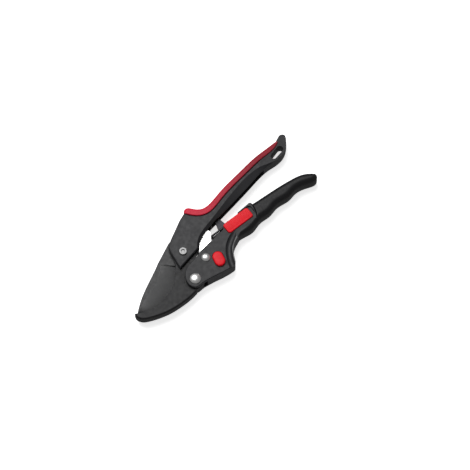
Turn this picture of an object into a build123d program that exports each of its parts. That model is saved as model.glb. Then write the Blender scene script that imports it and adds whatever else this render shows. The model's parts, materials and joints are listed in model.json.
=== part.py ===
"""Ratchet anvil pruner, lying on its side.

Every outline is drawn in the plane of the tool, in millimetres from the blade pivot:
+X runs to the handle ends, +Y to the upper handle, +Z out of the domed side.
The last step moves the pieces so that the origin is under the middle of the tool.
"""
from math import cos, radians, sin
import os

from build123d import *

# --- driving dimensions -------------------------------------------------------------------
BLADE_PIVOT = (0.0, 0.0)
HANDLE_PIVOT = (-10.4, -24.9)
LINK_PIVOT = (9.7, -17.8)
NOTCH = (25.2, -1.1)            # seat of the link's end pin in the blade tail
NOTCH_PITCH = (5.9, 1.5)        # step from one ratchet notch to the next
NOTCH_OPENS = (-0.68, -0.73)    # direction in which the notches are open

REST_HALF = 9.0                 # mid-plane to the plane that the tool lies on
MIDDLE_X, MIDDLE_Y = 34.58, -7.13 # middle of the tool, from the blade pivot

BLADE_HALF = 1.5
EDGE_HALF = 0.12
JAW_HALF = 4.9
WEB_HALF = 4.2
BLADE_SLOT_HALF = 2.0
UPPER_HALF = 8.0
UPPER_SLOT_HALF = 4.25
FLANK_FOOT = 5.4                # height at which the flanks meet the underside
STRIP_HALF = 9.0
RIB_HALF = 5.0
LOWER_HALF = 7.8
LOWER_SLOT_HALF = 4.7
GUARD_HALF = 8.6
SCOOP_R, SCOOP_DEPTH = 3.2, 1.5
GRIP_HALF = 9.0
TANG_HALF = 4.5

PIVOT_SCREW_R, PIVOT_HEAD_R = 2.5, 3.5
BUSH_R = 4.0
MAIN_RIVET_R, MAIN_HEAD_R = 3.5, 4.7
LINK_RIVET_R, LINK_HEAD_R = 2.6, 3.7
NOTCH_PIN_R = 2.4
NOTCH_R = 3.05
RUN = 0.06                      # radial running clearance

LINK_HALF_WIDTH = 5.0
LINK_INNER, LINK_OUTER = 1.75, 3.25

SLIDER_CENTRE = (53.2, -14.2)
SLIDER_TILT = -7.5
SLIDER_LENGTH, SLIDER_WIDTH = 26.6, 10.0
SLIDER_TRAVEL = 3.0
SLIDER_HALF, SLIDER_FLOOR = 8.9, 6.2

SWITCH_CENTRE = (16.5, -26.8)
SWITCH_TILT = 69.0
SWITCH_LENGTH, SWITCH_WIDTH = 13.6, 9.3
SWITCH_TRAVEL = 4.0
SWITCH_FLOOR, SWITCH_TOP = 6.6, 9.4

KEEPER = (51.0, 3.9)
KEEPER_R = 1.2
SPRING_WIRE_R = 0.9
SPRING_LEG_Z = 3.3
DOWEL_R = 1.2
UPPER_ROUND, LOWER_ROUND, JAW_ROUND, STRIP_ROUND = 1.2, 0.8, 1.5, 2.5

# --- outlines: a list is straight runs, a tuple is one smooth curve ------------------------
BLADE_EDGE = ((-66.4, -11.5), (-62.0, -14.5), (-57.5, -16.7), (-50.5, -18.5), (-41.5, -18.8),
              (-34.6, -18.0), (-28.2, -16.3), (-22.9, -13.3), (-17.5, -8.8), (-12.2, -2.8))
GRIND_LINE = ((-66.4, -10.7), (-58.0, -7.4), (-48.0, -4.4), (-38.0, -2.2), (-28.5, 1.4), (-21.0, 7.0))
LANDING = ((-67.3, -10.2), (-62.2, -13.7), (-57.5, -15.8), (-50.5, -17.6), (-41.5, -17.9),
           (-34.4, -17.1), (-28.0, -15.3), (-22.9, -12.4), (-17.0, -7.2))
JAW_RIM = ((-14.5, -32.6), (-24.5, -32.8), (-35.3, -31.5), (-45.5, -29.1), (-54.4, -25.6),
           (-62.5, -21.3), (-67.4, -17.4), (-69.3, -13.6), (-68.3, -9.2))
STRIP_SEAT = ((129.4, 12.0), (124.5, 10.4), (108.0, 10.9), (90.0, 11.1), (72.0, 11.0), (58.0, 10.0),
              (48.0, 8.8), (41.5, 9.0), (36.3, 10.8), (32.0, 14.1), (28.6, 18.4), (25.8, 23.8))
PLATE_EDGE = [(25.8, 23.8), (18.4, 22.0), (0.0, 14.9), (-6.0, 11.6), (-8.2, 6.8), (-12.6, -9.0)]
STRIP_TOP = ((25.8, 23.8), (28.2, 26.0), (30.9, 25.6), (33.4, 22.8), (36.2, 18.8), (40.0, 15.8),
             (45.0, 14.6), (54.0, 15.0), (66.0, 16.1), (85.0, 16.3), (106.0, 16.2), (118.0, 15.1),
             (129.4, 13.9))
HANDLE_UNDERSIDE = ((11.8, -7.3), (15.4, -4.6), (20.0, -2.4), (27.0, -0.5), (40.0, 0.5), (65.0, 1.3),
                    (85.0, 2.3), (98.0, 3.1), (108.0, 2.7), (118.0, 1.0), (125.0, 1.2), (131.5, 4.0),
                    (136.6, 8.8), (138.5, 12.9), (136.0, 15.3), (132.6, 14.9), (129.4, 13.9))
RIDGE = ((9.2, -8.6), (12.6, -4.2), (17.5, -0.6), (26.0, 1.9), (36.7, 3.5), (46.2, 4.9), (55.1, 6.5),
         (66.4, 8.1), (80.9, 9.6), (96.0, 8.8), (108.0, 5.4), (119.0, 0.0))
FLANK_EDGE = ((11.0, -9.2), (16.6, -5.2), (21.0, -3.1), (28.0, -1.6), (40.0, -1.0), (65.0, -0.2),
              (85.0, 0.8), (98.0, 1.6), (108.0, 1.2), (119.5, -1.2))
GRIP_UNDERSIDE = ((43.4, -24.5), (48.7, -25.7), (57.9, -27.8), (67.5, -26.6), (78.5, -28.0),
                  (88.0, -27.3), (100.0, -29.8), (108.5, -29.5), (117.0, -31.8), (123.3, -35.0),
                  (128.3, -35.6), (131.0, -33.0), (128.5, -28.5), (122.4, -23.8), (112.0, -20.0),
                  (97.6, -16.6), (84.0, -14.0), (72.8, -11.8))
COLLAR = ((72.8, -11.8), (71.6, -15.0), (70.0, -19.0), (66.6, -23.9))
CASING_UNDERSIDE = [(66.6, -23.9), (56.0, -24.6), (47.0, -23.4), (43.4, -24.5)]
GUARD_SCOOP = ((46.0, -18.8, 1.9), (41.8, -20.0, 0.7), (36.6, -21.9, 0.0), (30.6, -25.1, 0.0),
               (25.8, -30.0, 0.0), (21.8, -35.9, 0.0), (19.6, -40.6, 0.0))
GUARD_CURVE = ((43.4, -24.5), (37.9, -25.8), (33.0, -28.4), (28.9, -32.5), (25.1, -38.1))


def outline(*stretches):
    """Closed face through the stretches in order."""
    edges = []
    for stretch in stretches:
        if isinstance(stretch, list):
            edges += Polyline(*stretch).edges()
        else:
            edges.append(Spline(*stretch))
    return make_face(edges)


def slab(face, low, high):
    """Straight slab of an outline between two heights."""
    return Pos(0, 0, low) * extrude(face, amount=high - low, dir=(0, 0, 1))


def both_sides(face, low, high):
    """The same slab on the front and on the back."""
    return slab(face, low, high) + slab(face, -high, -low)


def post(centre, radius, low, high):
    """Round post or hole along Z."""
    return Pos(centre[0], centre[1], low) * Cylinder(
        radius, high - low, align=(Align.CENTER, Align.CENTER, Align.MIN))


def beside(point, step, count):
    return (point[0] + step[0] * count, point[1] + step[1] * count)


def rim_edges(shape, half, shortest=0.0):
    """Edges that run around both flat faces of a slab."""
    return [edge for edge in shape.edges() if abs(abs(edge.center().Z) - half) < 1e-6 and edge.length > shortest]


def rail(points, height):
    """Smooth curve through the points at one height."""
    return Spline(*[(x, y, height) for x, y in points])


def ruled_bar(rails):
    """Solid between four long rails, given in order around its section."""
    skins = [Face.make_surface_from_curves(a, b) for a, b in zip(rails, rails[1:] + rails[:1])]
    ends = [make_face(Polyline(*[curve @ t for curve in rails], close=True)) for t in (0, 1)]
    return Solid(Shell(skins + ends))


def dome(centre, radius, low, high):
    """Domed rivet head with a short upright rim."""
    rim = 0.25 * (high - low)
    rise = high - low - rim
    ball_r = (radius ** 2 + rise ** 2) / (2 * rise)
    cap = Pos(*centre, high - ball_r) * Sphere(ball_r)
    return post(centre, radius, low, high) & cap


# --- frame: upper handle with the anvil jaw -------------------------------------------------
def handle_taper(half_at_start, half_at_end):
    """Wedges that thin the handle towards its tip, one on each side."""
    side = Plane.XZ * make_face(
        Polyline((102, 11), (102, half_at_start), (140, half_at_end), (140, 11), close=True))
    wedge = extrude(side, amount=40, both=True)
    return wedge + mirror(wedge, Plane.XY)


def handle_flanks():
    """Sloping flanks between the handle's ridge and its underside, one on each side."""
    flank = ruled_bar([rail(RIDGE, UPPER_HALF + 0.4), rail(RIDGE, 12),
                       rail(FLANK_EDGE, 12), rail(FLANK_EDGE, FLANK_FOOT)])
    return flank + mirror(flank, Plane.XY)


def hang_slot():
    """Tear-drop slot for a hook."""
    ends = Pos(117.5, 5.3) * Circle(2.5), Pos(126.3, 6.2) * Circle(2.8)
    return slab(make_hull(ends[0].edges() + ends[1].edges()), -12, 12)


def upper_handle():
    body = slab(outline([(-12.6, -9.0), (11.8, -7.3)], HANDLE_UNDERSIDE, [(129.4, 13.9), (129.4, 12.0)],
                        STRIP_SEAT, PLATE_EDGE),
                -UPPER_HALF, UPPER_HALF)
    body = fillet(rim_edges(body, UPPER_HALF), UPPER_ROUND)
    blade_room = make_face(Polyline((-20, -20), (24, -20), (24, 30), (-20, 30), close=True))
    channel = outline([(23.9, -8.0), (103.0, -8.0), (103.0, 5.2)], ((103.0, 5.2), (98.0, 7.6), (80.0, 7.9)),
                      [(80.0, 7.9), (36.0, 8.3), (23.9, 10.0), (23.9, -8.0)])
    body -= handle_flanks()
    body -= slab(blade_room, -UPPER_SLOT_HALF, UPPER_SLOT_HALF)
    body -= slab(channel, -UPPER_SLOT_HALF, UPPER_SLOT_HALF)
    body += strip_rib()
    body -= handle_taper(UPPER_HALF, 5.2)
    body -= hang_slot()
    body -= post(BLADE_PIVOT, PIVOT_SCREW_R, -10, 10)
    body -= post(BLADE_PIVOT, 4.3, -10, -6.0)
    body -= keeper_pin()
    return body - anvil_dowels()


def strip_rib():
    """Rib along the back of the handle that the soft strip is moulded over."""
    top = ((28.9, 20.5), (32.0, 18.9), (35.6, 15.2), (40.4, 12.9), (46.0, 12.1), (56.0, 12.8), (68.0, 13.6),
           (104.0, 13.7), (116.0, 12.7), (126.0, 11.9))
    return slab(outline(top, [(126.0, 11.9), (126.0, 9.6), (60.0, 8.6), (44.0, 8.5), (30.5, 14.5), (28.9, 20.5)]),
                -RIB_HALF, RIB_HALF)


def grip_strip():
    strip = slab(outline(STRIP_TOP, [(129.4, 13.9), (129.4, 12.0)], STRIP_SEAT), -STRIP_HALF, STRIP_HALF)
    back = [edge for edge in rim_edges(strip, STRIP_HALF, 100) if edge.center().Y > 13.5]
    strip = fillet(back, STRIP_ROUND)
    return strip - strip_rib() - handle_taper(STRIP_HALF, 6.2)


def anvil_jaw():
    jaw = slab(outline(LANDING, [(-17.0, -7.2), (-14.5, -10.8), (-14.5, -32.6)], JAW_RIM,
                       [(-68.3, -9.2), (-67.3, -10.2)]), -JAW_HALF, JAW_HALF)
    jaw = fillet([edge for edge in rim_edges(jaw, JAW_HALF, 55) if edge.center().Y < -20], JAW_ROUND)
    jaw -= post(HANDLE_PIVOT, 9.7, -9, 9)
    web = slab(outline([(-17.0, -7.2), (-14.8, -5.7), (-12.4, -3.2), (-7.0, 6.5), (-3.6, 10.8), (8.0, 15.0), (19.0, 14.0),
                        (21.5, 8.0), (15.0, 1.5), (9.8, -5.5), (3.5, -12.5), (-1.6, -19.0)],
                       ((-1.6, -19.0), (-1.9, -25.0), (-4.2, -30.0), (-9.0, -32.3)),
                       [(-9.0, -32.3), (-22.0, -32.0), (-22.0, -13.0), (-17.0, -7.2)]),
               -WEB_HALF, WEB_HALF)
    floor = tuple((x, y - 0.18) for x, y in BLADE_EDGE[:-1])
    slot = slab(outline(floor, [floor[-1], (-13.5, -12.6), (-6.0, -14.2), (30.0, -14.2), (30.0, 20.0),
                                (-66.9, 20.0), (-66.9, floor[0][1]), floor[0]]),
                -BLADE_SLOT_HALF, BLADE_SLOT_HALF)
    body = jaw + web - slot
    body -= post(BLADE_PIVOT, PIVOT_SCREW_R, -10, 10)
    body -= post(HANDLE_PIVOT, MAIN_RIVET_R + RUN, -10, 10)
    return body - anvil_dowels()


def anvil_dowels():
    """Short pins that hold the anvil's web in the handle cheeks, clear of the blade."""
    spots = ((16.0, 9.5), (1.5, 11.0))
    return Compound([post(spot, DOWEL_R, low, low + 2.9) for spot in spots for low in (2.9, -5.8)])


def pivot_screw():
    screw = post(BLADE_PIVOT, PIVOT_SCREW_R, -8.4, UPPER_HALF)
    head = post(BLADE_PIVOT, PIVOT_HEAD_R, UPPER_HALF, UPPER_HALF + 1.3)
    head = chamfer(head.edges().sort_by(Axis.Z)[-1], 0.4)
    socket = slab(RegularPolygon(1.9, 6), UPPER_HALF + 0.2, UPPER_HALF + 2)
    return screw + head - socket


def pivot_nut():
    nut = slab(RegularPolygon(4.0, 6), -REST_HALF, -6.0)
    return nut - post(BLADE_PIVOT, PIVOT_SCREW_R, -10, 0)


def pivot_bush():
    return (post(BLADE_PIVOT, BUSH_R, -BLADE_SLOT_HALF, BLADE_SLOT_HALF)
            - post(BLADE_PIVOT, PIVOT_SCREW_R, -5, 5))


def ring_pair(centre, inner, outer, low, high):
    """Two flat rings, front and back."""
    return Compound([post(centre, outer, z, z + high - low) - post(centre, inner, -9, 9) for z in (low, -high)])


def blade_washers():
    return ring_pair(BLADE_PIVOT, BUSH_R, 7.5, BLADE_HALF + 0.05, BLADE_SLOT_HALF - 0.05)


def keeper_pin():
    return post(KEEPER, KEEPER_R, -6.2, 6.2)


# --- blade ---------------------------------------------------------------------------------
def bevel():
    """Ground part of the blade, thinning from the grind line to the cutting edge."""
    thick = [rail(GRIND_LINE, z) for z in (-BLADE_HALF, BLADE_HALF)]
    thin = [rail(BLADE_EDGE, z) for z in (EDGE_HALF, -EDGE_HALF)]
    return ruled_bar(thick + thin)


def blade():
    plunge = [GRIND_LINE[-1], BLADE_EDGE[-1]]
    heel = (plunge[-1], (-8.2, -7.6), (-1.0, -10.4), (7.0, -8.6), (14.0, -6.2))
    tail = [(14.0, -6.2), (30.5, -1.4), (36.0, 0.4)]
    tail_top = ((36.0, 0.4), (37.8, 3.4), (34.8, 5.6), (27.0, 6.3), (18.0, 8.2), (9.0, 13.2), (-1.6, 15.7))
    spine = ((-21.3, 9.4), (-36.3, 3.8), (-50.3, -1.4), (-58.7, -5.5), (-66.4, -10.3))
    flat = slab(outline(GRIND_LINE, plunge, heel, tail, tail_top, [(-1.6, 15.7), spine[0]], spine,
                        [spine[-1], GRIND_LINE[0]]), -BLADE_HALF, BLADE_HALF)
    for count in (-1, 0, 1):
        seat = beside(NOTCH, NOTCH_PITCH, count)
        mouth = beside(seat, NOTCH_OPENS, 7.0)
        ends = Pos(*seat) * Circle(NOTCH_R), Pos(*mouth) * Circle(NOTCH_R)
        flat -= slab(make_hull(ends[0].edges() + ends[1].edges()), -3, 3)
    return flat + bevel() - post(BLADE_PIVOT, BUSH_R + RUN, -3, 3)


# --- ratchet link --------------------------------------------------------------------------
def link_plate(low, high):
    ends = Pos(*LINK_PIVOT) * Circle(LINK_HALF_WIDTH), Pos(*NOTCH) * Circle(LINK_HALF_WIDTH)
    plate = slab(make_hull(ends[0].edges() + ends[1].edges()), low, high)
    plate -= post(LINK_PIVOT, LINK_RIVET_R + RUN, -9, 9)
    return plate - post(NOTCH, NOTCH_PIN_R, -9, 9)


def link_spacer():
    return (post(LINK_PIVOT, 4.2, -LINK_INNER, LINK_INNER)
            - post(LINK_PIVOT, LINK_RIVET_R + RUN, -9, 9))


def notch_pin():
    pin = post(NOTCH, NOTCH_PIN_R, -LINK_OUTER, LINK_OUTER)
    heads = [post(NOTCH, 3.5, low, low + 0.75) for low in (LINK_OUTER, -LINK_OUTER - 0.75)]
    return pin + heads[0] + heads[1]


# --- lower handle --------------------------------------------------------------------------
def on_slider(shape):
    """Place a shape drawn about the slider's middle."""
    return Pos(*SLIDER_CENTRE) * Rot(0, 0, SLIDER_TILT) * shape


def on_switch(shape, travel=0.0):
    """Place a shape drawn about the switch button's middle; travel is towards the guard."""
    return Pos(*SWITCH_CENTRE) * Rot(0, 0, SWITCH_TILT) * Pos(-travel, 0) * shape


def tang():
    return slab(make_face(Polyline((60, -13.4), (76, -15.6), (100, -20.3), (118, -25.2), (118, -29.2),
                                   (98, -25.2), (74, -22.6), (60, -21.5), close=True)), -TANG_HALF, TANG_HALF)


def lower_outline():
    return outline(
        ((-12.4, -32.0), (-16.4, -29.9), (-18.1, -25.4), (-17.0, -20.4), (-14.2, -16.4),
         (-10.6, -13.6), (-6.0, -12.3)),
        [(-6.0, -12.3), (6.2, -11.4), (9.0, -10.4), (38.0, -10.4), (40.0, -9.4), (43.6, -7.7), (71.4, -9.5),
         (72.6, -10.4), (72.8, -11.8)], COLLAR, CASING_UNDERSIDE,
        GUARD_CURVE, ((25.1, -38.1), (22.8, -40.0), (18.8, -40.0)),
        [(18.8, -40.0), (11.0, -38.0), (2.3, -35.0), (-7.0, -32.4), (-12.4, -32.0)])


def guard_flange():
    """Thickened lip along the finger guard's curve."""
    inner = tuple((x - 3.2, y + 1.6) for x, y in reversed(GUARD_CURVE[1:]))
    around = [(42.0, -22.0), (42.0, -38.0), (24.0, -39.4), inner[0]]
    band = slab(outline(around, inner, [inner[-1], (42.0, -22.0)]), -GUARD_HALF, GUARD_HALF)
    return band & slab(lower_outline(), -GUARD_HALF, GUARD_HALF)


def guard_scoops():
    """Rounded hollows inside the guard's lip, one on each side."""
    path = Spline(*GUARD_SCOOP)
    tool = sweep(Plane(origin=path @ 0, z_dir=path % 0) * Circle(SCOOP_R), path)
    tool = Pos(0, 0, LOWER_HALF - SCOOP_DEPTH + SCOOP_R) * tool
    return tool + mirror(tool, Plane.XY)


def catch_outline(room=0.0):
    """Hook plate: base under the slider, arm up the gap and a barb; room widens it for its slot."""
    return make_face(Polyline((38.4 - room, -10.6 - room), (58.0 + room, -13.2 - room), (58.0 + room, -10.9),
                              (45.2 + room, -9.2), (44.9, -5.0), (44.6, 6.3), (47.8, 6.2), (47.0, 7.4),
                              (42.0, 7.4), (40.8, 5.0), (39.2, -1.8), (37.8, -4.6), (37.4, -6.6), close=True))


def lower_handle():
    body = slab(lower_outline(), -LOWER_HALF, LOWER_HALF)
    body = fillet(rim_edges(body, LOWER_HALF), LOWER_ROUND)
    body += guard_flange()
    body -= guard_scoops()
    body += tang()
    hollow = make_face(Polyline((-25, -42), (-3.5, -42), (-3.5, -30.4), (3, -32.2), (12, -35.2), (20, -36.6),
                                (24, -33), (28, -27.6), (33, -23.8), (37.5, -22.0), (37.5, -5), (-25, -5), close=True))
    body -= slab(hollow, -LOWER_SLOT_HALF, LOWER_SLOT_HALF)

    long_seat = Pos(SLIDER_TRAVEL / 2, 0) * RectangleRounded(
        SLIDER_LENGTH + SLIDER_TRAVEL + 0.6, SLIDER_WIDTH + 0.6, 2.6)
    body -= both_sides(on_slider(long_seat), SLIDER_FLOOR - 0.1, LOWER_HALF + 1)
    body -= on_slider(Pos(-1.5, 6.0) * Box(11.6, 6.2, 30))
    body -= slab(make_face(Polyline((34, -5), (34, -11.2), (62.6, -14.6), (62.6, -5), close=True)), -1.9, 1.9)
    body -= detent_leaf_pocket()

    seat = on_switch(SlotOverall(SWITCH_LENGTH + SWITCH_TRAVEL + 0.6, SWITCH_WIDTH + 0.6), SWITCH_TRAVEL / 2)
    stem_way = on_switch(SlotOverall(5.8 + SWITCH_TRAVEL + 0.5, 4.4), SWITCH_TRAVEL / 2)
    body -= slab(seat, SWITCH_FLOOR, LOWER_HALF + 1)
    body -= slab(stem_way, 0, LOWER_HALF + 1)

    body -= post(HANDLE_PIVOT, MAIN_RIVET_R, -10, 10)
    body -= post(LINK_PIVOT, LINK_RIVET_R, -10, 10)
    for side in (-1, 1):
        body -= spring_leg(side, SPRING_WIRE_R + 0.02)
    return body


def rubber_grip():
    grip = slab(outline(GRIP_UNDERSIDE, COLLAR, CASING_UNDERSIDE), -GRIP_HALF, GRIP_HALF)
    return grip - tang()


def main_rivet():
    rivet = post(HANDLE_PIVOT, MAIN_RIVET_R, -8.4, LOWER_HALF)
    return rivet + dome(HANDLE_PIVOT, MAIN_HEAD_R, LOWER_HALF, 10.0) + post(HANDLE_PIVOT, 4.5, -REST_HALF, -8.4)


def rivet_burr():
    return post(HANDLE_PIVOT, 5.6, -8.4, -LOWER_HALF) - post(HANDLE_PIVOT, MAIN_RIVET_R, -9, 9)


def link_rivet():
    rivet = post(LINK_PIVOT, LINK_RIVET_R, -LOWER_HALF, LOWER_HALF)
    return rivet + dome(LINK_PIVOT, LINK_HEAD_R, LOWER_HALF, 9.7) + post(LINK_PIVOT, 3.6, -8.8, -LOWER_HALF)


def handle_washers():
    return ring_pair(HANDLE_PIVOT, MAIN_RIVET_R, 7.0, WEB_HALF + 0.05, LOWER_SLOT_HALF)


def link_washers():
    """Rings that keep the link plates in the middle of the handle."""
    return ring_pair(LINK_PIVOT, LINK_RIVET_R, 4.6, LINK_OUTER + 0.05, LOWER_SLOT_HALF)


def spring_leg(side, radius):
    """One straight leg of the return spring, on the front (1) or the back (-1)."""
    start, end = (46.0, -9.3, side * SPRING_LEG_Z), (28.7, -6.9, side * SPRING_LEG_Z)
    run = Vector(*end) - Vector(*start)
    return Plane(start, z_dir=run) * Cylinder(radius, run.length, align=(Align.CENTER, Align.CENTER, Align.MIN))


def return_spring():
    """Wire spring: two legs joined by a bar that bears on the link's edge."""
    bar = post((28.7, -6.9), SPRING_WIRE_R, -SPRING_LEG_Z, SPRING_LEG_Z)
    knees = [Pos(28.7, -6.9, side * SPRING_LEG_Z) * Sphere(SPRING_WIRE_R) for side in (-1, 1)]
    return spring_leg(1, SPRING_WIRE_R) + spring_leg(-1, SPRING_WIRE_R) + bar + knees[0] + knees[1]


# --- lock slider ---------------------------------------------------------------------------
def lock_slider():
    pad = on_slider(RectangleRounded(SLIDER_LENGTH, SLIDER_WIDTH, 2.3))
    bridge = on_slider(Pos(-3.0, 4.05) * Box(8.0, 1.9, 2 * SLIDER_HALF))
    slider = both_sides(pad, SLIDER_FLOOR, SLIDER_HALF) + bridge
    return slider - catch_rivets()


def lock_catch():
    plate = slab(catch_outline(), -1.6, 1.6)
    plate -= on_slider(Pos(-3.0, 6.1) * Box(8.1, 6.0, 30))
    return plate - catch_rivets()


def catch_rivets():
    """Two upright rivets that hold the hook plate under the slider."""
    return Compound([on_slider(Pos(x, 3.2) * Rot(90, 0, 0) * Cylinder(0.8, 3.2)) for x in (-5.0, -1.0)])


def detent_leaf_pocket():
    return on_slider(Pos(0, 0.1) * Box(11, 2.0, 3.4))


def detent_leaf():
    """Arched leaf under the hook plate that holds the slider where it is put."""
    arch = ThreePointArc((-5.2, 0), (0, 0.6), (5.2, 0))
    leaf = make_face([arch, Line(arch @ 1, (5.2, -0.4)), ThreePointArc((5.2, -0.4), (0, 0.2), (-5.2, -0.4)),
                      Line((-5.2, -0.4), arch @ 0)])
    return on_slider(Pos(0, -0.45) * slab(leaf, -1.3, 1.3))


# --- ratchet switch ------------------------------------------------------------------------
def switch_button():
    cap = slab(on_switch(SlotOverall(SWITCH_LENGTH, SWITCH_WIDTH)), SWITCH_FLOOR + 0.05, SWITCH_TOP)
    cap = fillet(cap.edges().group_by(Axis.Z)[-1], 1.0)
    stem = slab(on_switch(SlotOverall(5.8, 4.1)), LOWER_SLOT_HALF - 0.05, SWITCH_FLOOR + 0.05)
    return cap + stem - switch_screw()


def switch_retainer():
    plate = slab(on_switch(SlotOverall(8.4, 6.6)), 3.35, LOWER_SLOT_HALF - 0.05)
    return plate - switch_screw()


def switch_screw():
    return post(SWITCH_CENTRE, 1.0, 2.9, 7.4) + post(SWITCH_CENTRE, 1.8, 2.4, 3.35)


PIECES = {
    "upper_handle": upper_handle, "grip_strip": grip_strip, "anvil_jaw": anvil_jaw,
    "anvil_dowels": anvil_dowels, "pivot_screw": pivot_screw, "pivot_nut": pivot_nut,
    "pivot_bush": pivot_bush, "blade_washers": blade_washers, "keeper_pin": keeper_pin,
    "blade": blade,
    "link_plate_front": lambda: link_plate(LINK_INNER, LINK_OUTER),
    "link_plate_back": lambda: link_plate(-LINK_OUTER, -LINK_INNER),
    "link_spacer": link_spacer, "notch_pin": notch_pin,
    "lower_handle": lower_handle, "rubber_grip": rubber_grip, "main_rivet": main_rivet,
    "rivet_burr": rivet_burr, "link_rivet": link_rivet, "handle_washers": handle_washers,
    "link_washers": link_washers, "return_spring": return_spring, "detent_leaf": detent_leaf,
    "lock_slider": lock_slider, "lock_catch": lock_catch, "catch_rivets": catch_rivets,
    "switch_button": switch_button, "switch_retainer": switch_retainer, "switch_screw": switch_screw,
}

os.makedirs("parts", exist_ok=True)
place = Pos(-MIDDLE_X, -MIDDLE_Y, REST_HALF)
for name, make in PIECES.items():
    export_step(place * make(), f"parts/{name}.step")
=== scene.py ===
"""Looks of the ratchet anvil pruner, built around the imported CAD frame. Lengths are in metres."""
import json
import math

import bmesh
import bpy
import numpy as np
from mathutils import Matrix, Vector, geometry


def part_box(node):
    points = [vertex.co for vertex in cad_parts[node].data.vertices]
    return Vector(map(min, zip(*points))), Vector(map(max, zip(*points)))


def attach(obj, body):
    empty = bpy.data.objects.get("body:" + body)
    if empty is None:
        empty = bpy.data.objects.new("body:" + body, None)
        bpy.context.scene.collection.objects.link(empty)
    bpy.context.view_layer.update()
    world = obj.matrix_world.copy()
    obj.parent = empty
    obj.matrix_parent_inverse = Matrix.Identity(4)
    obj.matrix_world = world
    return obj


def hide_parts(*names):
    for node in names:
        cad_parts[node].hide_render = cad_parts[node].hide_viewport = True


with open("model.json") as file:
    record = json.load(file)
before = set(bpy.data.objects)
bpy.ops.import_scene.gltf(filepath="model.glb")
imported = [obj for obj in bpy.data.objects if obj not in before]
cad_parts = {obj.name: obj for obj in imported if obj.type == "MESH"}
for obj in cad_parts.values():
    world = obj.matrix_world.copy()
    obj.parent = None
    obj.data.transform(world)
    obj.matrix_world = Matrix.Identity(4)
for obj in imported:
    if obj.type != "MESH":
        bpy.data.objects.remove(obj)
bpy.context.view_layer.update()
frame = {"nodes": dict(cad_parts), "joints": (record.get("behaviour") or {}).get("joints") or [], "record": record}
MM = 0.001

# --- moulded covers ---------------------------------------------------------------------------
GRIP_HALF, GRIP_RIM, GRIP_SEAM = 9 * MM, 4.6 * MM, 0.7 * MM    # half thickness, free rim, rim at a seam
STRIP_HALF, STRIP_RIM, STRIP_SEAM = 9 * MM, 2.8 * MM, 0.5 * MM
GRIP_CUT, STRIP_CUT = 5 * MM, 5.9 * MM     # heights over the middle at which their outlines are taken
OUTLINE_STEP = 0.45 * MM
GRIP_STEP, STRIP_STEP = 0.9 * MM, 0.8 * MM
TAPER_START, TAPER = 67.4 * MM, 2.8 / 38   # where the upper handle starts to thin, and how steeply
SLIDER_TOP, SLIDER_FLOOR, BRIDGE_TOP = 8.9 * MM, 6.2 * MM, 7.5 * MM
SLIDER_HALF_WIDTH, SLIDER_CROWN = 5 * MM, 0.35 * MM
RIB_PITCH, RIB_DEPTH, RIB_MARGIN = 1.3 * MM, 0.2 * MM, 1.1 * MM
BUTTON_TOP, BUTTON_FLOOR, BUTTON_CROWN = 9.4 * MM, 6.7 * MM, 0.3 * MM
LIP_START, LIP_TOP = 8.2 * MM, 8.5 * MM    # the guard's raised lip, over the middle

# --- camera and stage, worked out from the frame --------------------------------------------
TOOL_ANGLE = math.radians(46)      # the tool's long axis in the picture, before foreshortening
CAMERA_TILT = math.radians(21)     # camera leans this far from straight above, towards the picture's foot
VIEW_WIDTH = 0.4019                # width that the picture covers at the pivot screw
LENS, SENSOR = 400.0, 36.0         # a long lens keeps the picture nearly without perspective
FLOOR_SIDE = 6.0
FLOOR_GLOW = 0.7                   # lifts the paper floor to white between the handles
WORLD_GLOW = 0.2
AIM_RIGHT, AIM_UP = 0.0445, 0.0135  # picture centre from the pivot screw, along the picture's axes
KEY_SIDE, KEY_LIFT = -14, 44       # key light from the camera's side: degrees to the right and up
KEY_SIZE, KEY_POWER = 0.8, 9.5


def mean(first, second):
    return (first + second) / 2


def picture_axes():
    """Right, up and towards-the-camera directions of the picture, in the row frame."""
    right = Vector((math.cos(TOOL_ANGLE), -math.sin(TOOL_ANGLE), 0))
    down = Vector((-math.sin(TOOL_ANGLE), -math.cos(TOOL_ANGLE), 0))
    back = Vector((0, 0, math.cos(CAMERA_TILT))) + down * math.sin(CAMERA_TILT)
    up = Vector((0, 0, math.sin(CAMERA_TILT))) - down * math.cos(CAMERA_TILT)
    return right, up, back


def add_camera():
    right, up, back = picture_axes()
    low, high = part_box("pivot_screw")
    screw = Vector((mean(low.x, high.x), mean(low.y, high.y), high.z))
    target = screw + right * AIM_RIGHT + up * AIM_UP
    data = bpy.data.cameras.new("camera")
    data.lens, data.sensor_width = LENS, SENSOR
    camera = bpy.data.objects.new("camera", data)
    bpy.context.collection.objects.link(camera)
    turn = Matrix((right, up, back)).transposed().to_4x4()
    camera.matrix_world = Matrix.Translation(target + back * (VIEW_WIDTH * LENS / SENSOR)) @ turn
    bpy.context.scene.camera = camera


def add_softbox(name, to_right, to_up, size, power):
    """Disc light a metre from the tool, turned from the camera's side by two angles in degrees."""
    right, up, back = picture_axes()
    side, lift = math.radians(to_right), math.radians(to_up)
    direction = right * math.sin(side) + (up * math.sin(lift) + back * math.cos(lift)) * math.cos(side)
    data = bpy.data.lights.new(name, "AREA")
    data.shape, data.size, data.energy = "DISK", size, power
    light = bpy.data.objects.new(name, data)
    bpy.context.collection.objects.link(light)
    light.location = direction
    light.rotation_mode = "QUATERNION"
    light.rotation_quaternion = (-direction).to_track_quat("-Z", "Y")


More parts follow.
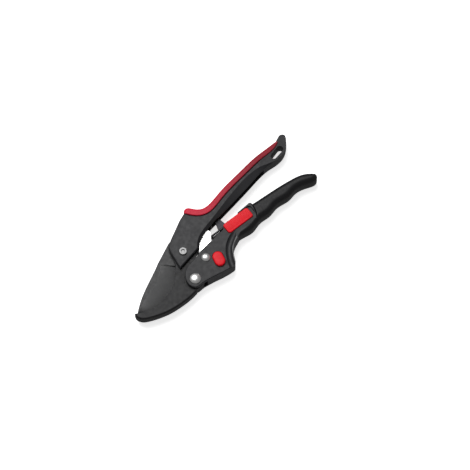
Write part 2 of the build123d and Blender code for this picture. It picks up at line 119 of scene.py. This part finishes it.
def add_stage():
    bpy.ops.mesh.primitive_plane_add(size=FLOOR_SIDE, location=(0, 0, 0))
    floor = bpy.context.object
    floor.name = "floor"
    paper = Shader("floor_paper", (0.9, 0.9, 0.9), 0.9)
    paper.set("Specular IOR Level", 0.1)
    paper.set("Emission Color", (1, 1, 1, 1))
    paper.set("Emission Strength", FLOOR_GLOW)
    paper.feed("Base Color", paper.mix(paper.noise(2 * MM, 3), (0.88, 0.88, 0.88), (0.93, 0.93, 0.93)))
    floor.data.materials.append(paper.material)
    floor.visible_glossy = False
    world = bpy.data.worlds.new("studio")
    bpy.context.scene.world = world
    world.use_nodes = True
    background = world.node_tree.nodes["Background"]
    background.inputs["Color"].default_value = (1, 1, 1, 1)
    background.inputs["Strength"].default_value = WORLD_GLOW
    add_softbox("key", KEY_SIDE, KEY_LIFT, KEY_SIZE, KEY_POWER)


# --- materials -------------------------------------------------------------------------------
class Shader:
    """A principled material and the few node patterns that the pruner's surfaces share."""

    def __init__(self, name, colour, rough, metal=0.0):
        self.material = bpy.data.materials.new(name)
        self.material.use_nodes = True
        self.nodes = self.material.node_tree.nodes
        self.links = self.material.node_tree.links
        self.bsdf = self.nodes["Principled BSDF"]
        self.colour = colour
        self.set("Base Color", (*colour, 1))
        self.set("Roughness", rough)
        self.set("Metallic", metal)
        self.place = self.nodes.new("ShaderNodeTexCoord").outputs["Object"]
        self.normal = None

    def set(self, socket, value):
        self.bsdf.inputs[socket].default_value = value

    def noise(self, size, detail=4.0, stretch=(1, 1, 1)):
        """Noise whose grains are about size metres across."""
        mapping = self.nodes.new("ShaderNodeMapping")
        mapping.inputs["Scale"].default_value = [s / size for s in stretch]
        self.links.new(self.place, mapping.inputs["Vector"])
        noise = self.nodes.new("ShaderNodeTexNoise")
        noise.inputs["Scale"].default_value = 1.0
        noise.inputs["Detail"].default_value = detail
        self.links.new(mapping.outputs["Vector"], noise.inputs["Vector"])
        return noise.outputs["Fac"]

    def spread(self, fac, low, high, start=0.3, end=0.7):
        """A number from low to high as fac goes from start to end."""
        node = self.nodes.new("ShaderNodeMapRange")
        for socket, value in zip(("From Min", "From Max", "To Min", "To Max"), (start, end, low, high)):
            node.inputs[socket].default_value = value
        self.links.new(fac, node.inputs["Value"])
        return node.outputs["Result"]

    def mix(self, fac, first, second):
        """Colour between first and second; each is a colour or another node's output."""
        node = self.nodes.new("ShaderNodeMix")
        node.data_type = "RGBA"
        self.links.new(fac, node.inputs["Factor"])
        for socket, value in ((6, first), (7, second)):
            if isinstance(value, tuple):
                node.inputs[socket].default_value = (*value, 1)
            else:
                self.links.new(value, node.inputs[socket])
        return node.outputs[2]

    def bump(self, height, depth):
        """Adds relief, depth metres from the lowest to the highest point."""
        node = self.nodes.new("ShaderNodeBump")
        node.inputs["Distance"].default_value = depth
        node.inputs["Strength"].default_value = 1.0
        self.links.new(height, node.inputs["Height"])
        if self.normal is not None:
            self.links.new(self.normal, node.inputs["Normal"])
        self.normal = node.outputs["Normal"]
        self.links.new(self.normal, self.bsdf.inputs["Normal"])

    def soft_edges(self, radius):
        """Rounds the look of crisp edges, and gives a mask that is 1 on them."""
        bevel = self.nodes.new("ShaderNodeBevel")
        bevel.samples = 6
        bevel.inputs["Radius"].default_value = radius
        self.normal = bevel.outputs["Normal"]
        self.links.new(self.normal, self.bsdf.inputs["Normal"])
        surface = self.nodes.new("ShaderNodeNewGeometry")
        dot = self.nodes.new("ShaderNodeVectorMath")
        dot.operation = "DOT_PRODUCT"
        self.links.new(bevel.outputs["Normal"], dot.inputs[0])
        self.links.new(surface.outputs["True Normal"], dot.inputs[1])
        return self.spread(dot.outputs["Value"], 1.0, 0.0, 0.75, 0.995)

    def axis(self, vector, name):
        """One of the X, Y and Z numbers of a vector output."""
        node = self.nodes.new("ShaderNodeSeparateXYZ")
        self.links.new(vector, node.inputs[0])
        return node.outputs[name]

    def feed(self, socket, output):
        self.links.new(output, self.bsdf.inputs[socket])


def scaled(colour, factor):
    return tuple(c * factor for c in colour)


def coated_metal(name, colour, rough, shine, grain, relief, edge=1.6):
    """Powder coat: orange peel, faint mottling, a painted highlight on the edges; the raised guard lip is worn
    shiny.
    """
    shader = Shader(name, colour, rough)
    lip = shader.spread(shader.axis(shader.place, "Z"), shine, 0.85, MID_Z + LIP_START, MID_Z + LIP_TOP)
    shader.feed("Specular IOR Level", lip)
    edges = shader.soft_edges(0.35 * MM)
    mottle = shader.spread(shader.noise(9 * MM, 3), 0.0, 1.0)
    base = shader.mix(mottle, scaled(colour, 0.88), scaled(colour, 1.12))
    speck = shader.noise(0.45 * MM, 2)
    base = shader.mix(shader.spread(speck, 0.0, 0.5, 0.5, 0.8), base, scaled(colour, 1.8))
    # Painted highlight: the base colour on the edges is lightened by the factor edge.
    shader.feed("Base Color", shader.mix(edges, base, scaled(colour, edge)))
    shader.feed("Roughness", shader.spread(shader.noise(3 * MM, 5), rough - 0.07, rough + 0.07))
    shader.bump(shader.noise(grain, 3), relief)
    return shader.material


def ground_blade(name, colour, rough):
    """Coated blade: satin flats, a ground bevel that darkens towards the cutting edge, and a painted highlight on
    the edges.
    """
    shader = Shader(name, colour, rough)
    edges = shader.soft_edges(0.15 * MM)
    facing = shader.nodes.new("ShaderNodeNewGeometry").outputs["True Normal"]
    flat = shader.spread(shader.axis(facing, "Z"), 0.0, 1.0, 0.992, 0.998)
    ground = shader.spread(shader.axis(shader.place, "Z"), 0.22, 0.8, MID_Z + 0.3 * MM, MID_Z + 1.5 * MM)
    shader.feed("Specular IOR Level", shader.mix(flat, ground, (0.24, 0.24, 0.24)))
    mottle = shader.spread(shader.noise(5 * MM, 4), 0.0, 1.0)
    base = shader.mix(mottle, scaled(colour, 0.8), scaled(colour, 1.2))
    # Painted highlight: the base colour on the edges is lightened.
    shader.feed("Base Color", shader.mix(edges, base, scaled(colour, 1.5)))
    shader.feed("Roughness", shader.spread(shader.noise(2.5 * MM, 5), rough - 0.08, rough + 0.08))
    shader.bump(shader.noise(0.25 * MM, 3, (1, 0.2, 1)), 0.002 * MM)
    return shader.material


def soft_rubber(name, colour, rough, far=1.0):
    """Soft-touch rubber: matt, with a fine moulded grain; far scales its colour at the handle's end, a painted
    shade of the light falling off there.
    """
    shader = Shader(name, colour, rough)
    shader.soft_edges(0.4 * MM)
    mottle = shader.spread(shader.noise(12 * MM, 3), 0.0, 1.0)
    base = shader.mix(mottle, scaled(colour, 0.9), scaled(colour, 1.1))
    # Painted shade: the colour darkens by the factor far towards the handle's end, where the light falls off.
    end = shader.spread(shader.axis(shader.place, "X"), 0.0, 1.0, -5 * MM, 65 * MM)
    shader.feed("Base Color", shader.mix(end, base, scaled(colour, far)))
    shader.feed("Roughness", shader.spread(shader.noise(2 * MM, 4), rough - 0.06, rough + 0.08))
    shader.set("Specular IOR Level", 0.22)
    shader.bump(shader.noise(0.35 * MM, 2), 0.02 * MM)
    return shader.material


def moulded_plastic(name, colour, rough):
    """Moulded plastic: glossy skin with faint flow marks."""
    shader = Shader(name, colour, rough)
    shader.set("Specular IOR Level", 0.15)
    shader.soft_edges(0.3 * MM)
    flow = shader.spread(shader.noise(6 * MM, 3, (1, 0.3, 1)), 0.0, 1.0)
    shader.feed("Base Color", shader.mix(flow, scaled(colour, 0.93), scaled(colour, 1.06)))
    shader.feed("Roughness", shader.spread(shader.noise(1.5 * MM, 4), rough - 0.05, rough + 0.06))
    shader.bump(shader.noise(0.6 * MM, 3), 0.006 * MM)
    return shader.material


def bare_metal(name, colour, rough, brush=(1, 1, 1)):
    """Plated or plain steel with fine brushing, light handling marks and painted shade in corners and recesses."""
    shader = Shader(name, colour, rough, 1.0)
    shader.soft_edges(0.2 * MM)
    marks = shader.spread(shader.noise(5 * MM, 5), 0.0, 1.0)
    # Painted shade: the ambient occlusion node darkens the colour in corners and recesses, where shade falls.
    corner = shader.nodes.new("ShaderNodeAmbientOcclusion")
    corner.inputs["Distance"].default_value = 0.8 * MM
    recess_shade = shader.spread(corner.outputs["AO"], 1.0, 0.0, 0.35, 0.8)
    base = shader.mix(marks, scaled(colour, 0.9), colour)
    shader.feed("Base Color", shader.mix(recess_shade, base, scaled(colour, 0.3)))
    shader.feed("Roughness", shader.spread(shader.noise(0.25 * MM, 3, brush), rough - 0.06, rough + 0.1))
    shader.bump(shader.noise(0.2 * MM, 2, brush), 0.002 * MM)
    return shader.material


# Each slot's material: the function that makes it, then its colour, roughness and the rest.
SLOT_MATERIALS = {
    "handle_paint": (coated_metal, (0.018, 0.018, 0.02), 0.5, 0.3, 0.5 * MM, 0.012 * MM),
    # The 2.0 at the end of jaw_coat lightens the jaw's edges more, a painted highlight.
    "jaw_coat": (coated_metal, (0.012, 0.012, 0.013), 0.45, 0.2, 0.5 * MM, 0.006 * MM, 2.0),
    "blade_coat": (ground_blade, (0.024, 0.024, 0.025), 0.38),
    # The 0.45 of red_grip darkens the red strip towards the handle's end, a painted shade.
    "red_grip": (soft_rubber, (0.56, 0.018, 0.045), 0.5, 0.45),
    "black_rubber": (soft_rubber, (0.009, 0.009, 0.01), 0.45),
    "red_plastic": (moulded_plastic, (0.75, 0.01, 0.02), 0.4),
    "bright_steel": (bare_metal, (0.88, 0.88, 0.87), 0.36),
    "link_steel": (bare_metal, (0.78, 0.78, 0.76), 0.34, (1, 0.12, 1)),
    "spring_steel": (bare_metal, (0.038, 0.038, 0.04), 0.4),
    "dark_steel": (bare_metal, (0.038, 0.038, 0.042), 0.45),
    "steel": (bare_metal, (0.5, 0.5, 0.5), 0.35),
    "bronze": (bare_metal, (0.55, 0.36, 0.17), 0.4),
}


def paint_cad_nodes():
    """Gives every CAD node the finished material of its slot; the pivot screw has duller plating."""
    finished = {name: make(name, *looks) for name, (make, *looks) in SLOT_MATERIALS.items()}
    for sub in frame["record"]["subparts"]:
        node = frame["nodes"][sub["node"]]
        node.data.materials.clear()
        node.data.materials.append(finished[sub["material_slot"]])
    frame["nodes"]["pivot_screw"].data.materials[0] = bare_metal("screw_zinc", (0.2, 0.2, 0.2), 0.42)
    return finished


# --- moulded pieces that stand for plain CAD solids ------------------------------------------
def section(node, height):
    """Longest outline of a CAD node cut level at a height: its corners in order, one row each.

    Each outline starts at its leftmost edge, so that every run gives the same points.
    """
    mesh = bmesh.new()
    mesh.from_mesh(frame["nodes"][node].data)
    mesh.transform(frame["nodes"][node].matrix_world)
    bmesh.ops.remove_doubles(mesh, verts=mesh.verts, dist=0.001 * MM)
    parts = mesh.verts[:] + mesh.edges[:] + mesh.faces[:]
    cut = bmesh.ops.bisect_plane(mesh, geom=parts, dist=1e-7, plane_co=(0, 0, height), plane_no=(0, 0, 1))
    edges = {item for item in cut["geom_cut"] if isinstance(item, bmesh.types.BMEdge)}
    loops = []
    while edges:
        edge = min(edges, key=lambda near: sorted(vert.co[:] for vert in near.verts))
        edges.remove(edge)
        first, tip = sorted(edge.verts, key=lambda vert: vert.co[:])
        loop = [first.co.xy[:]]
        while edge is not None:
            loop.append(tip.co.xy[:])
            edge = next((near for near in tip.link_edges if near in edges), None)
            if edge is not None:
                edges.remove(edge)
                tip = edge.other_vert(tip)
        loops.append(np.array(loop[:-1]))
    mesh.free()
    return max(loops, key=lambda loop: np.linalg.norm(loop - np.roll(loop, -1, 0), axis=1).sum())


def resample(loop, step):
    """The same closed outline with sides of about one step."""
    points = []
    for start, end in zip(loop, np.roll(loop, -1, 0)):
        count = max(1, round(np.linalg.norm(end - start) / step))
        points += [start + (end - start) * i / count for i in range(count)]
    kept = [points[0]]
    for point in points[1:]:
        if np.linalg.norm(point - kept[-1]) > 0.4 * step and np.linalg.norm(point - kept[0]) > 0.4 * step:
            kept.append(point)
    return np.array(kept)


def gaps(points, loop):
    """Distance from each point to each side of a closed outline."""
    along = np.roll(loop, -1, 0) - loop
    away = points[:, None, :] - loop[None]
    share = np.clip((away * along).sum(2) / (along ** 2).sum(1), 0, 1)
    return np.linalg.norm(away - share[..., None] * along, axis=2)


def inside(points, loop):
    """Which points lie inside a closed outline."""
    ends = np.roll(loop, -1, 0)
    x, y = points[:, :1], points[:, 1:]
    spans = (loop[:, 1] > y) != (ends[:, 1] > y)
    rise = np.where(ends[:, 1] == loop[:, 1], 1.0, ends[:, 1] - loop[:, 1])
    meets = loop[:, 0] + (y - loop[:, 1]) * (ends[:, 0] - loop[:, 0]) / rise
    return (spans & (x < meets)).sum(1) % 2 == 1


def filling(loop, rims, step):
    """Points inside an outline: rings that follow its rounded rim, then an even field."""
    ends = np.roll(loop, -1, 0)
    middle, along = (loop + ends) / 2, ends - loop
    inward = np.stack((-along[:, 1], along[:, 0]), 1) / np.linalg.norm(along, axis=1)[:, None]
    found = []
    for share in (0.05, 0.15, 0.3, 0.5):     # how deep each ring lies, as a part of the rim
        for sign in (-1, 1):
            ring = middle + sign * inward * rims[:, None] * share
            near = gaps(ring, loop).min(1)
            found.append(ring[inside(ring, loop) & (near > 0.97 * rims * share)])
    low, high = loop.min(0), loop.max(0)
    rows, columns = int((high[1] - low[1]) / step) + 1, int((high[0] - low[0]) / step) + 1
    field = np.array([(low[0] + (c + 0.5 * (r % 2)) * step, low[1] + r * step)
                      for r in range(rows) for c in range(columns)])
    near = gaps(field, loop)
    clear = inside(field, loop) & (near.min(1) > 0.4 * step) & (near > 0.55 * rims).all(1)
    return np.concatenate(found + [field[clear]])


def moulded(mesh, loop, half, rims, step, relief=None, base=None, side=1):
    """Adds a slab over an outline, with a rounded rim; a base makes it one-sided.

    half gives the half thickness at each point, and relief how far the face dips below it.
    """
    inner = filling(loop, rims, step)
    flat, _, faces, *_ = geometry.delaunay_2d_cdt(
        [Vector(p) for p in np.concatenate((loop, inner))], [], [list(range(len(loop)))], 1, 1e-8)
    points = np.array([p[:] for p in flat])
    near = gaps(points, loop)
    dip = rims * (1 - np.sqrt(1 - (1 - np.clip(near / rims, 0, 1)) ** 2))
    tops = half(points) - dip.max(1)
    if relief is not None:
        tops -= relief(points, near.min(1))
    bottoms = -tops if base is None else np.full(len(points), base)
    front = [mesh.verts.new((x, y, MID_Z + side * z)) for (x, y), z in zip(points, tops)]
    rear = [mesh.verts.new((x, y, MID_Z + side * z)) for (x, y), z in zip(points, bottoms)]
    twin = dict(zip(front, rear))
    for face in faces:
        mesh.faces.new([front[i] for i in face])
        mesh.faces.new([rear[i] for i in reversed(face)])
    for edge in [e for e in mesh.edges if e.is_boundary and e.verts[0] in twin]:
        corner = edge.link_loops[0]
        a, b = corner.vert, corner.link_loop_next.vert
        mesh.faces.new((b, a, twin[a], twin[b]))


def make_piece(name, mesh, node):
    """Turns a built mesh into a smooth piece that stands for a CAD node and moves with its body."""
    bmesh.ops.recalc_face_normals(mesh, faces=mesh.faces)
    data = bpy.data.meshes.new(name)
    mesh.to_mesh(data)
    mesh.free()
    data.set_sharp_from_angle(angle=math.radians(50))
    piece = bpy.data.objects.new(name, data)
    bpy.context.collection.objects.link(piece)
    slot = next(sub["material_slot"] for sub in frame["record"]["subparts"] if sub["node"] == node)
    data.materials.append(MATERIALS[slot])
    bodies = frame["record"]["behaviour"]["bodies"]
    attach(piece, next(body for body, nodes in bodies.items() if node in nodes))
    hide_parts(node)


def rim_sizes(loop, neighbour, outer, seated):
    """Rim radius of each side: seated where it lies against the neighbour's outline."""
    middle = (loop + np.roll(loop, -1, 0)) / 2
    against = gaps(middle, neighbour).min(1) < 0.3 * MM
    return np.where(against, seated, outer)


def level(height):
    """The same half thickness at every point."""
    return lambda points: np.full(len(points), height)


def add_grip():
    cut = MID_Z + GRIP_CUT
    loop = resample(section("rubber_grip", cut), OUTLINE_STEP)
    rims = rim_sizes(loop, section("lower_handle", cut), GRIP_RIM, GRIP_SEAM)
    mesh = bmesh.new()
    moulded(mesh, loop, level(GRIP_HALF), rims, GRIP_STEP)
    make_piece("grip_cover", mesh, "rubber_grip")


def add_strip():
    cut = MID_Z + STRIP_CUT
    loop = resample(section("grip_strip", cut), OUTLINE_STEP)
    rims = rim_sizes(loop, section("upper_handle", cut), STRIP_RIM, STRIP_SEAM)

    def thinning(points):
        return STRIP_HALF - np.clip(points[:, 0] - TAPER_START, 0, 1) * TAPER

    mesh = bmesh.new()
    moulded(mesh, loop, thinning, rims, STRIP_STEP)
    make_piece("strip_cover", mesh, "grip_strip")


def add_slider():
    """Lock slider: a ribbed pad on each side and the bridge that joins them."""
    joint = next(joint for joint in frame["joints"] if joint["child"] == "lock")
    along = np.array(joint["axis"][:2])
    loop = resample(section("lock_slider", MID_Z + 7.5 * MM), 0.4 * MM)
    centre = (loop.min(0) + loop.max(0)) / 2

    def ribs(points, gap):
        run = (points - centre) @ along
        across = (points - centre) @ np.array((-along[1], along[0]))
        crown = SLIDER_CROWN * (across / SLIDER_HALF_WIDTH) ** 2
        field = np.clip((gap - RIB_MARGIN) / (0.5 * MM), 0, 1)
        return crown + RIB_DEPTH * field * (0.5 + 0.5 * np.cos(2 * np.pi * run / RIB_PITCH))

    mesh = bmesh.new()
    pad_rims = np.full(len(loop), 0.9 * MM)
    for side in (1, -1):
        moulded(mesh, loop, level(SLIDER_TOP), pad_rims, 0.33 * MM, ribs, SLIDER_FLOOR, side)
    bridge = resample(section("lock_slider", MID_Z), 0.6 * MM)
    moulded(mesh, bridge, level(BRIDGE_TOP), np.full(len(bridge), 0.4 * MM), 0.6 * MM)
    make_piece("slider_cover", mesh, "lock_slider")


def add_button():
    """Oval switch button with a slightly crowned face."""
    loop = resample(section("switch_button", MID_Z + 8 * MM), 0.4 * MM)

    def crown(points, gap):
        return BUTTON_CROWN * (1 - np.clip(gap / (4 * MM), 0, 1)) ** 2

    mesh = bmesh.new()
    moulded(mesh, loop, level(BUTTON_TOP), np.full(len(loop), 1.1 * MM), 0.4 * MM, crown, BUTTON_FLOOR)
    make_piece("button_cover", mesh, "switch_button")


MID_Z = mean(*(corner.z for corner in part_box("upper_handle")))
MATERIALS = paint_cad_nodes()
add_grip()
add_strip()
add_slider()
add_button()
add_stage()
add_camera()
bpy.context.scene.view_settings.view_transform = "Standard"
